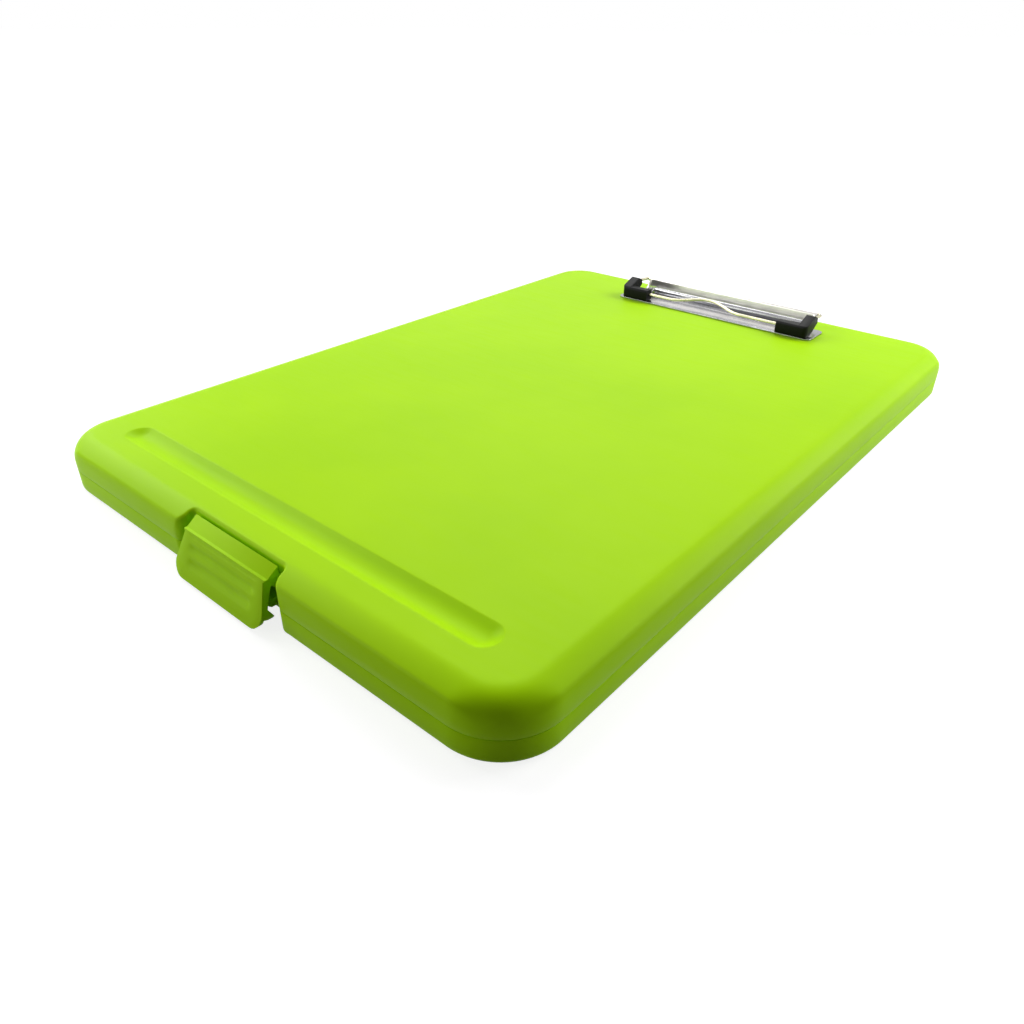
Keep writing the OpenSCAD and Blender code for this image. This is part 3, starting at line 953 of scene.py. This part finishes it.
@dataclass
class Lid(Half):
    """Upper half: board with rounded edge, pen groove, notch, pin lugs and knuckles."""

    top: float = 20.8
    edge: float = 8.8
    groove_half: float = 97.0
    groove_width: float = 10.7
    groove_depth: float = 2.0
    groove_y: float = -149.8
    groove_steps: int = 8
    lip: float = 0.7
    lip_profile: tuple[Place, ...] = ((1.0, 0.0), (0.55, 0.04), (0.15, 0.16), (-0.35, 0.36))
    pad_half: float = 7.5
    pad_sink: float = 0.15
    pad_round: float = 0.8
    pivot: Place = (-168.2, 14.8)
    lug_x: float = 12.0
    lug_half: float = 1.5
    lug_bore: float = 0.75
    lug_chamfer: float = 0.15
    inner_rim: float = 0.6
    notch_round: float = 1.1
    flat_step: float = 0.75
    # depth inside the edge and height: a near-upright wall, a soft crease and a sloped shoulder
    shoulder: Profile = field(
        default_factory=lambda: [
            (0, 12), (0.055, 13.4), (0.22, 15.3), (0.49, 16.85), (0.87, 17.6), (1.35, 18.0), (1.92, 18.33),
            (2.6, 18.7), (3.3, 19.07), (4.1, 19.45), (5.0, 19.83), (5.9, 20.17), (6.8, 20.46), (7.8, 20.69),
            (8.8, 20.8),
        ]
    )

    def _rings(self) -> list[Ring]:
        """Draw the lid's section round the outline.

        Returns:
            Rings from the cavity's ceiling, down the inside, round the seam and up to the board.
        """
        plan, wall = self.plan, self.wall
        behind = plan.notch_y + wall + 1.0
        inner = plan.skin(wall, self.edge - wall, self.inner_rim, self.top - wall, behind, 10, 3)
        outer = plan.skin(
            0.0, self.edge, self.notch_round, self.top, plan.front + self.edge, shoulder=self.shoulder
        )
        seam = plan.seam_rings(wall, self.seam, self.seam_round, 1)
        return [self._flat_ring(inner[-1]), *reversed(inner), *seam, *outer, self._flat_ring(outer[-1])]

    def _flat_ring(self, ring: Ring) -> Ring:
        """Move a ring a little inwards at its own height, so that the flat inside it shades as flat."""
        flat = []
        for p, (x, y, z) in zip(self.plan.outline(), ring):
            nx, ny = (0.0, 1.0) if p.notch > 0 else (p.nx, p.ny)
            flat.append((x + nx * self.flat_step, y + ny * self.flat_step, z))
        return flat

    def _capsule(self, half_width: float, depth: float, steps: int = 16) -> Ring:
        """Draw a ring round the groove: two straight runs and two round ends.

        Args:
            half_width: Half of its width.
            depth: Its depth below the board.
            steps: Steps round each end.

        Returns:
            The ring.
        """
        reach = self.groove_half - self.groove_width / 2
        ring: Ring = []
        for side in (1, -1):
            for i in range(steps + 1):
                a = math.radians(-90 + 180 * i / steps)
                x = side * (reach + half_width * math.cos(a))
                ring.append((x, self.groove_y + side * half_width * math.sin(a), self.top - depth))
        return ring

    def _groove_rings(self) -> list[Ring]:
        """Draw the pen groove's section.

        Returns:
            Rings from the soft lip of the groove down its round section.
        """
        half = self.groove_width / 2
        radius = (half * half + self.groove_depth**2) / (2 * self.groove_depth)
        rings = [self._capsule(half + 2 * self.lip, 0.0)]
        rings += [self._capsule(half + self.lip * share, depth) for share, depth in self.lip_profile]
        inner = half + self.lip * self.lip_profile[-1][0]
        for i in range(1, self.groove_steps + 1):
            # the last ring stays just open, and its fill is the groove's lowest line
            width = inner * (1 - i / (self.groove_steps + 0.2))
            rings.append(self._capsule(width, self.groove_depth - (radius - math.sqrt(radius**2 - width**2))))
        return rings

    def _fill_board(self, shell: Piece) -> None:
        """Fill the flat board between its rounded edge and the groove, and the cavity's ceiling.

        Args:
            shell: The joined rings of the lid and of the groove.
        """
        Bench.take(shell)
        bpy.ops.object.mode_set(mode="EDIT")
        for height, keep in ((self.top, True), (self.top - self.wall, False)):
            bpy.ops.mesh.select_all(action="DESELECT")
            mesh = bmesh.from_edit_mesh(shell.data)
            for edge in mesh.edges:
                if edge.is_boundary and all(abs(v.co.z - height * MM) < 1e-7 for v in edge.verts):
                    edge.select_set(True)
            bmesh.update_edit_mesh(shell.data)
            bpy.ops.mesh.fill(use_beauty=keep)
        bpy.ops.object.mode_set(mode="OBJECT")

    def build(self) -> Piece:
        """Model the lid.

        Returns:
            The finished mesh.
        """
        shell = Bench.loft("lid_shell", self._rings(), cap_first=False, cap_last=False)
        groove = Bench.loft("groove", self._groove_rings(), cap_first=False, cap_last=True)
        shell = Bench.join("lid_shell", [shell, groove])
        self._fill_board(shell)
        Bench.outward(shell)
        Bench.smooth(shell, 40)
        back_x, back_z = self.groove_half + self.wall, self.top - self.wall
        pad = Bench.block(
            "groove_back",
            (-back_x, self.groove_y - self.pad_half, back_z - self.groove_depth),
            (back_x, self.groove_y + self.pad_half, back_z + self.pad_sink),
            self.pad_round,
        )
        parts = [shell, pad]
        y, z = self.pivot
        half = self.lug_half
        for x in (-self.lug_x, self.lug_x):
            profile = sleeve(x - half, x + half, self.lug_bore, half, self.lug_chamfer)
            parts.append(Bench.turned("pin_lug", y, z, profile))
            low, high = (x - half, y + 0.8, z - half), (x + half, self.plan.notch_y + 0.5, z + half)
            parts.append(Bench.block("lug_root", low, high, self.lug_chamfer))
        parts += self.hinges.knuckles([1, 3], False, self.plan.rear - self.knuckle_sink)
        for part in parts[1:]:
            Bench.smooth(part, 35)
        return Bench.join("lid_shell", parts)


@dataclass
class Tray(Half):
    """Lower half: flat floor, walls, locating rim, catch ledge and knuckles."""

    rim_height: float = 2.2
    rim_thick: float = 1.2
    rim_gap: float = 0.3
    rim_round: float = 0.4
    rim_root: float = 3.0
    rim_sink: float = 0.2
    floor_round: float = 1.1
    flat_step: float = 0.5
    ledge_half: float = 21.0
    ledge_z: Place = (4.8, 8.0)
    ledge_reach: float = 5.4
    # notch value and round of the foot, which is smaller round the notch
    foot_edge: Profile = field(
        default_factory=lambda: [(0, 2.2), (OUTER_START, 2.0), (OUTER_END, 1.2), (NOTCH_WALL, 0.6)]
    )

    def _rings(self) -> list[Ring]:
        """Draw the tray's section round the outline.

        Returns:
            Rings from the inner floor, up the inside, over the seam and down to the underside.
        """
        points = self.plan.outline()
        feet = [along(self.foot_edge, p.notch) for p in points]
        wall, small = self.wall, self.floor_round
        rings: list[Ring] = [[p.at(wall + small + self.flat_step, wall) for p in points]]
        for k in range(4, -1, -1):
            a = math.radians(90 * k / 4)
            inset, z = wall + small * (1 - math.cos(a)), wall + small * (1 - math.sin(a))
            rings.append([p.at(inset, z) for p in points])
        rings += self.plan.seam_rings(wall, self.seam, self.seam_round, -1)
        for k in range(7):
            a = math.radians(90 * k / 6)
            curl, rise = 1 - math.cos(a), 1 - math.sin(a)
            rings.append([p.at(foot * curl, foot * rise) for p, foot in zip(points, feet)])
        rings.append([p.at(foot + self.flat_step, 0.0) for p, foot in zip(points, feet)])
        return rings

    def _rim(self) -> list[Piece]:
        """Make the locating rim.

        Returns:
            Its left and right run.
        """
        plan, seam, lean = self.plan, self.seam, 0.35
        limit_x, limit_y = plan.notch_half + 12, plan.rear - plan.corner - 9
        right = [p for p in plan.outline() if p.x > limit_x and p.y < limit_y and p.notch < 0.2]
        root, out = self.wall - self.rim_sink, self.wall + self.rim_gap
        far, top = out + self.rim_thick, seam + self.rim_height
        low, high = seam - self.rim_root, top - self.rim_round
        section = [(root, low), (root, seam - 0.6), (out, seam - 0.2), (out, high)]
        section += [(out + lean, top), (far - lean, top), (far, high), (far, low)]
        parts = []
        for side in (1, -1):
            rings = [[(side * p.at(d, z)[0], p.at(d, z)[1], z) for d, z in section] for p in right]
            part = Bench.loft("rim", rings)
            Bench.outward(part)
            Bench.smooth(part, 35)
            parts.append(part)
        return parts

    def _ledge(self) -> Piece:
        """Make the ledge in the notch that the latch's barb hooks under.

        Returns:
            The ledge, which runs into the notch's rear wall.
        """
        y, nose = self.plan.notch_y + self.wall / 2, self.plan.notch_y - self.ledge_reach
        low, high = self.ledge_z
        section = [(y, low), (y, high), (nose + 1, high)]
        section += [(nose, high - 0.8), (nose, low + 0.8), (nose + 1, low)]
        ends = (-self.ledge_half, self.ledge_half)
        part = Bench.loft("catch_ledge", [[(x, a, b) for a, b in section] for x in ends])
        Bench.outward(part)
        Bench.bevel(part, 0.25, 2)
        Bench.smooth(part, 35)
        return part

    def build(self) -> Piece:
        """Model the tray.

        Returns:
            The finished mesh.
        """
        shell = Bench.loft("tray_shell", self._rings())
        Bench.outward(shell)
        Bench.smooth(shell, 40)
        parts = [shell, *self._rim(), self._ledge()]
        knuckles = self.hinges.knuckles([0, 2, 4], True, self.plan.rear - self.knuckle_sink)
        for part in knuckles:
            Bench.smooth(part, 35)
        return Bench.join("tray_shell", parts + knuckles)


@dataclass
class Latch:
    """Front latch: a sloped flap with three soft finger grooves, hooked over the lid's pin."""

    crest: Place = (-172.05, 16.7)
    slope: float = 21.6
    recess: float = 0.6
    face: float = 16.886
    flat_half: float = 20.5
    round_mm: float = 0.45
    fade: float = 3.5
    near: float = 0.02
    # each groove's middle and half width down the face, its depth, and its reach to either side
    grooves: tuple[tuple[float, float, float, float], ...] = (
        (1.2, 1.05, 0.22, 19.6),
        (5.2, 2.1, 0.7, 19.2),
        (10.2, 2.6, 0.72, 18.4),
    )
    # cuts across the grooves by their x, closer where the grooves fade, and along half of each
    columns: tuple[int, ...] = (-20, -19, -18, -17, -16, -8, 0, 8, 16, 17, 18, 19, 20)
    rows: int = 6

    def _down(self) -> Vector:
        """Direction down the flap's face."""
        a = math.radians(self.slope)
        return Vector((0, -math.sin(a), -math.cos(a)))

    def _out(self) -> Vector:
        """Direction that the flap's face looks in."""
        a = math.radians(self.slope)
        return Vector((0, -math.cos(a), math.sin(a)))

    def _face_place(self, spot: Vector) -> Place:
        """Distance down the flap's face from the crest, and depth behind it, of a point in metres."""
        a = math.radians(self.slope)
        dy, dz = spot.y / MM - self.crest[0], spot.z / MM - self.crest[1]
        return (-dy * math.sin(a) - dz * math.cos(a), dy * math.cos(a) - dz * math.sin(a))

    def _groove(self, x: float, down: float) -> float:
        """Find the depth of the finger grooves at a place on the face, faded at their ends.

        Args:
            x: X of the place.
            down: Its distance down the face.

        Returns:
            The depth in millimetres.
        """
        depth = 0.0
        for middle, half, deep, reach in self.grooves:
            if abs(down - middle) < half:
                fade = mix(1.0, 0.0, (abs(x) - reach + self.fade) / self.fade)
                depth += deep * fade * (1 + math.cos(math.pi * (down - middle) / half)) / 2
        return depth

    def _level(self, piece: Piece) -> None:
        """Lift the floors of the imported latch's plain grooves to its face, and merge them with it.

        Args:
            piece: The latch, in edit mode.
        """
        slack = 0.05
        mesh = bmesh.from_edit_mesh(piece.data)
        for vert in mesh.verts:
            down, depth = self._face_place(vert.co)
            beside = abs(vert.co.x) < self.flat_half * MM and -slack < down < self.face + slack
            if beside and abs(depth - self.recess) < self.near:
                vert.co += self._out() * MM * self.recess
        bpy.ops.mesh.select_all(action="SELECT")
        bpy.ops.mesh.remove_doubles(threshold=0.01 * MM)
        bpy.ops.mesh.dissolve_limited(angle_limit=FLAT)

    def _cut(self, piece: Piece, place: Point, normal: Point | Vector) -> None:
        """Cut the flap's face, and nothing behind it, with a plane.

        Args:
            piece: The latch, in edit mode.
            place: A point of the plane in millimetres.
            normal: The plane's normal.
        """
        bpy.ops.mesh.select_all(action="DESELECT")
        mesh = bmesh.from_edit_mesh(piece.data)
        for side in mesh.faces:
            _, depth = self._face_place(side.calc_center_median())
            if side.normal.dot(self._out()) > 0.999 and abs(depth) < self.near:
                side.select_set(True)
        bmesh.update_edit_mesh(piece.data)
        bpy.ops.mesh.bisect(plane_co=[v * MM for v in place], plane_no=normal)

    def build(self, node: Piece) -> Piece:
        """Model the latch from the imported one: level its grooves, round its edges, press soft grooves.

        Args:
            node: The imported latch.

        Returns:
            The finished mesh.
        """
        piece = Bench.copy_of(node, "latch_flap")
        bpy.ops.object.mode_set(mode="EDIT")
        self._level(piece)
        bpy.ops.object.mode_set(mode="OBJECT")
        Bench.bevel(piece, self.round_mm, 3, 20)
        Bench.take(piece)
        bpy.ops.object.mode_set(mode="EDIT")
        for x in self.columns:
            self._cut(piece, (x, 0, 0), (1, 0, 0))
        a = math.radians(self.slope)
        for middle, half, _, _ in self.grooves:
            for i in range(-self.rows, self.rows + 1):
                down = middle + half * i / self.rows
                place = (0, self.crest[0] - down * math.sin(a), self.crest[1] - down * math.cos(a))
                self._cut(piece, place, -self._down())
        mesh = bmesh.from_edit_mesh(piece.data)
        for vert in mesh.verts:
            down, depth = self._face_place(vert.co)
            if abs(depth) < self.near and 0.1 < down < self.face:
                vert.co -= self._out() * MM * self._groove(vert.co.x / MM, down)
        bmesh.update_edit_mesh(piece.data)
        bpy.ops.object.mode_set(mode="OBJECT")
        Bench.smooth(piece, 40)
        return piece


@dataclass
class Clip:
    """Low clip: wire bail with a wavy front bar, and springs on the rod."""

    centre: float = 3.0
    rod: Place = (150.6, 22.75)
    bar: Place = (132.9, 25.2)
    knee: Place = (143.0, 28.6)
    rail: Place = (153.6, 27.8)
    arm: float = 54.0
    tail: float = 3.2
    bends: Point = (1.3, 1.5, 3.0)
    wire: float = 0.8
    wave: float = 6.4
    wave_half: float = 22.0
    wave_x: float = -4.0
    wave_steps: int = 48
    spring_wire: float = 0.25
    spring_radius: float = 1.5
    spring_start: float = 46.65
    spring_turns: int = 3
    spring_pitch: float = 1.05
    spring_steps: int = 24
    spring_foot: Place = (146.2, 21.95)

    @staticmethod
    def _bend(a: Vector, v: Vector, b: Vector, reach: float, steps: int = 12) -> list[Vector]:
        """Round a corner of the wire.

        Args:
            a: Point before the corner.
            v: The corner.
            b: Point after the corner.
            reach: Distance from the corner where the bend starts and ends.
            steps: Steps along the bend.

        Returns:
            Points along the bend.
        """
        p, q = v + (a - v).normalized() * reach, v + (b - v).normalized() * reach
        places = [i / steps for i in range(steps + 1)]
        return [(1 - t) ** 2 * p + 2 * t * (1 - t) * v + t * t * q for t in places]

    def bail(self) -> Piece:
        """Bend the bail wire, which is the same on both sides apart from its wave.

        Returns:
            The wire.
        """
        knots = [Vector((self.arm - self.tail, *self.rail))]
        knots += [Vector((self.arm, *place)) for place in (self.rail, self.knee, self.bar)]
        knots.append(Vector((self.wave_half, *self.bar)))
        half = knots[:1]
        for i, reach in enumerate(self.bends):
            half += self._bend(*knots[i : i + 3], reach)
        tilt = math.atan2(self.knee[1] - self.bar[1], self.knee[0] - self.bar[0])
        lift = Vector((0, math.cos(tilt), math.sin(tilt)))
        path = list(half)
        for i in range(self.wave_steps + 1):
            t = 2 * i / self.wave_steps
            level = Vector((self.wave_x + self.wave_half * (1 - t), *self.bar))
            path.append(level + lift * self.wave * (1 - math.cos(math.pi * t)) / 2)
        path += [Vector((-p.x, p.y, p.z)) for p in reversed(half)]
        piece = Bench.tube("bail_wire", [(p.x + self.centre, p.y, p.z) for p in path], self.wire)
        Bench.smooth(piece, 50)
        return piece

    def spring(self, side: int) -> Piece:
        """Wind one torsion spring.

        Args:
            side: 1 for the right spring, -1 for the left.

        Returns:
            The spring.
        """
        (fy, fz), (ry, rz) = self.spring_foot, self.rod
        away, reach, radius = rz - fz, ry - fy, self.spring_radius
        slope = math.degrees(math.atan2(away, reach) + math.asin(radius / math.hypot(away, reach)))
        points = [(self.spring_start, fy, fz)]
        for i in range(self.spring_steps * self.spring_turns + 1):
            a = math.radians(90 + slope - 360 / self.spring_steps * i)
            x = self.spring_start + self.spring_pitch * i / self.spring_steps
            points.append((x, ry + radius * math.cos(a), rz + radius * math.sin(a)))
        name = "spring_right" if side > 0 else "spring_left"
        piece = Bench.tube(name, [(side * x + self.centre, y, z) for x, y, z in points], self.spring_wire, 3)
        Bench.smooth(piece, 60)
        return piece


@dataclass(frozen=True)
class Camera:
    """The photograph's viewpoint, fitted to the box's outline: place in metres, turns in degrees."""

    lens: float = 28.353
    place: Point = (0.2062208, -0.27243971, 0.16165846)
    yaw: float = -40.528
    pitch: float = -31.4901
    roll: float = 0.4586

    def build(self) -> None:
        """Create the camera and make it the scene's."""
        y, p, r = (math.radians(v) for v in (self.yaw, self.pitch, self.roll))
        forward = Vector((math.cos(p) * math.sin(y), math.cos(p) * math.cos(y), math.sin(p)))
        right = forward.cross(Vector((0, 0, 1))).normalized()
        up = right.cross(forward)
        right, up = right * math.cos(r) + up * math.sin(r), up * math.cos(r) - right * math.sin(r)
        data = bpy.data.cameras.new("photo_camera")
        data.lens, data.sensor_width, data.sensor_fit = self.lens, 36.0, "AUTO"
        data.clip_start, data.clip_end = 0.01, 100.0
        camera = bpy.data.objects.new("photo_camera", data)
        bpy.context.scene.collection.objects.link(camera)
        turn = Matrix((right, up, -forward)).transposed()
        camera.matrix_world = Matrix.Translation(self.place) @ turn.to_4x4()
        bpy.context.scene.camera = camera


@dataclass(frozen=True)
class Lamp:
    """One square soft box that looks at the object's middle: degrees, metres and watts."""

    name: str
    azimuth: float
    elevation: float
    distance: float
    size: float
    power: float

    def build(self) -> None:
        """Create the area lamp."""
        data = bpy.data.lights.new(self.name, "AREA")
        data.shape = "SQUARE"
        data.size = self.size
        data.energy = self.power
        lamp = bpy.data.objects.new(self.name, data)
        bpy.context.scene.collection.objects.link(lamp)
        a, e = math.radians(self.azimuth), math.radians(self.elevation)
        away = Vector((math.cos(e) * math.cos(a), math.cos(e) * math.sin(a), math.sin(e)))
        lamp.location = away * self.distance
        lamp.rotation_euler = (-lamp.location).to_track_quat("-Z", "Y").to_euler()


@dataclass
class Studio:
    """Pale floor, pale surroundings and soft lamps."""

    floor_half: float = 12.0
    floor_drop: float = 0.0002
    paper: str = "A6A4A8"
    surround: float = 0.03
    floor_glow: float = 0.83
    glow_near: float = 0.22
    glow_far: float = 0.55
    lamps: tuple[Lamp, ...] = (
        Lamp("rear_key", 127, 50, 1.6, 0.9, 13.0),
        Lamp("left_high", 195, 35, 0.7, 0.35, 2.3),
        Lamp("front_left_low", 240, 15, 0.6, 0.3, 0.8),
        Lamp("right_low", 30, 15, 0.6, 0.3, 0.85),
        Lamp("rear_right_high", 55, 35, 0.7, 0.35, 2.5),
    )

    def _floor(self) -> None:
        """Lay the floor, white to the eye and dimmed only by the object's shadow."""
        Bench.clear()
        bpy.ops.mesh.primitive_plane_add(size=2 * self.floor_half, location=(0, 0, -self.floor_drop))
        floor = bpy.context.object
        floor.name = "studio_floor"
        material, tree = new_material("matt_paper_sweep")
        output = add_node(tree, "ShaderNodeOutputMaterial")
        paper = add_node(tree, "ShaderNodeBsdfDiffuse", inputs={"Color": linear(self.paper)})
        # the sweep is lit white away from the object, and near it the lamps make up the rest
        far = add_node(tree, "ShaderNodeVectorMath", {"operation": "LENGTH"}, {0: on_piece(tree)})
        level = spread(tree, far.outputs["Value"], self.floor_glow, 1.0, self.glow_near, self.glow_far)
        glow = add_node(tree, "ShaderNodeEmission", inputs={"Color": linear("FFFFFF"), "Strength": level})
        dark = add_node(tree, "ShaderNodeEmission", inputs={"Color": linear("000000"), "Strength": 0.0})
        parts = {0: seen_directly(tree), 1: dark.outputs["Emission"], 2: glow.outputs["Emission"]}
        lift = add_node(tree, "ShaderNodeMixShader", inputs=parts)
        parts = {0: paper.outputs["BSDF"], 1: lift.outputs["Shader"]}
        both = add_node(tree, "ShaderNodeAddShader", inputs=parts)
        tree.links.new(both.outputs["Shader"], output.inputs["Surface"])
        floor.data.materials.append(material)

    def _world(self) -> None:
        """Light all round, and pure white where the camera sees it."""
        world = bpy.data.worlds.new("white_studio")
        bpy.context.scene.world = world
        world.use_nodes = True
        tree = world.node_tree
        tree.nodes.clear()
        output = add_node(tree, "ShaderNodeOutputWorld")
        strength = spread(tree, seen_directly(tree), self.surround, 1.0)
        sky = add_node(tree, "ShaderNodeBackground", inputs={"Color": linear("FFFFFF"), "Strength": strength})
        tree.links.new(sky.outputs["Background"], output.inputs["Surface"])

    def build(self) -> None:
        """Set the stage."""
        self._world()
        self._floor()
        for lamp in self.lamps:
            lamp.build()
        bpy.context.scene.view_settings.view_transform = "Standard"


def main() -> None:
    """Build every sub-assembly in order and report each piece."""
    logging.basicConfig(level=logging.INFO, format="%(name)s %(message)s")
    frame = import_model()
    nodes = frame["nodes"]
    finishes = Finishes.make()
    Camera().build()
    Studio().build()

    dress(Tray().build(), finishes.lime, Body.TRAY, "tray")
    dress(Lid().build(), finishes.lime, Body.LID, "lid")
    dress(Latch().build(nodes["latch"]), finishes.lime, Body.LATCH, "latch")

    clip = Clip()
    dress(clip.bail(), finishes.wire, Body.CLIP, "clip_bail_wire")
    dress(clip.spring(-1), finishes.steel, Body.LID, "clip_spring_left")
    dress(clip.spring(1), finishes.steel, Body.LID, "clip_spring_right")
    for node, body, slot, finish, width in (
        ("clip_base_plate", Body.LID, Slot.PLATED, finishes.plate, 0.12),
        ("clip_lever", Body.CLIP, Slot.PLATED, finishes.lever, 0.1),
        ("corner_cap_left", Body.CLIP, Slot.BLACK, finishes.black, 0.5),
        ("corner_cap_right", Body.CLIP, Slot.BLACK, finishes.black, 0.5),
    ):
        piece = Bench.copy_of(nodes[node], node + "_rounded")
        Bench.bevel(piece, width, 3)
        Bench.smooth(piece, 35)
        dress(piece, finish, body, node)
    for name in ("hinge_pins", "latch_pin", "clip_rivets", "rivet_washers", "clip_pivot_rod"):
        node = nodes[name]
        for i in range(len(node.material_slots)):
            node.material_slots[i].material = finishes.steel
        LOG.info("%s keeps its packed shape", name)


if __name__ == "__main__":
    main()
